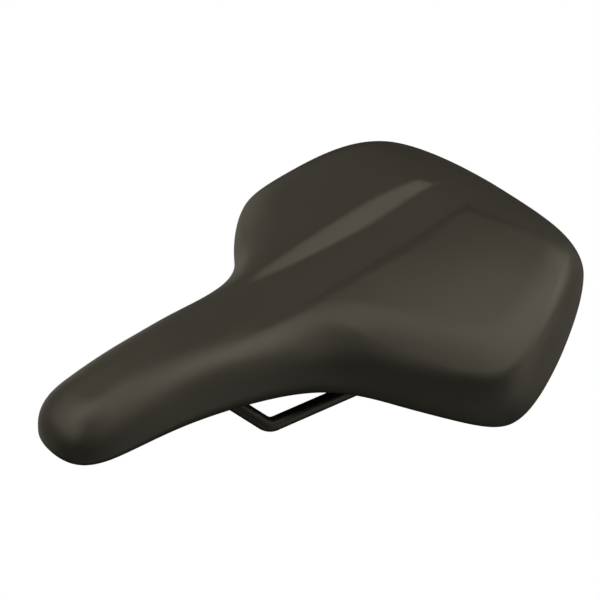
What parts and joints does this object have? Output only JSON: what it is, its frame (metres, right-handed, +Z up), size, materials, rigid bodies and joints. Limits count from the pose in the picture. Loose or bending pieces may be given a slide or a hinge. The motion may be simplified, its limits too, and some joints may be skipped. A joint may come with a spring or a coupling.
{
  "type": "bicycle saddle",
  "caption": "Wide padded bicycle saddle with a moulded cover, a relief channel, a bent wire rail for a seatpost clamp and a rear end sprung on elastomers.",
  "frame": {"origin": "midway between the two rails, on their axes, at the middle of the straight stretch that a seatpost clamps", "axes": "+X along the rails to the nose, +Y to the rider's left, +Z up to the seat"},
  "size_m": [0.274, 0.1966, 0.0741],
  "materials": {
    "cover_skin": "matte black moulded skin with a fine grain",
    "foam": "open dark foam",
    "moulded_plastic": "black moulded plastic with a fine texture",
    "black_paint": "gloss black paint",
    "steel": "zinc-plated steel",
    "brass": "plain brass",
    "grey_rubber": "matte dark grey elastomer"
  },
  "bodies": {
    "rail_frame": {"rail": "black_paint", "rear_bridge": "moulded_plastic", "elastomer_left": "grey_rubber", "elastomer_right": "grey_rubber"},
    "seat": {"cover": "cover_skin", "foam_pad": "foam", "base_shell": "moulded_plastic", "cover_staples": "steel", "nose_bush_upper": "grey_rubber", "nose_bush_lower": "grey_rubber", "nose_clip": "moulded_plastic", "nose_screws": "steel", "spring_bolts": "steel", "bolt_washers": "steel", "insert_nuts": "brass"}
  },
  "joints": [
    {"name": "seat_flex", "type": "hinge", "parent": "rail_frame", "child": "seat", "pos_m": [0.102, 0, 0.022], "axis": [0, -1, 0], "range_deg": [0, 2.2], "stiffness_Nm_per_rad": 1500, "deforming": ["elastomer_left", "elastomer_right"]}
  ]
}
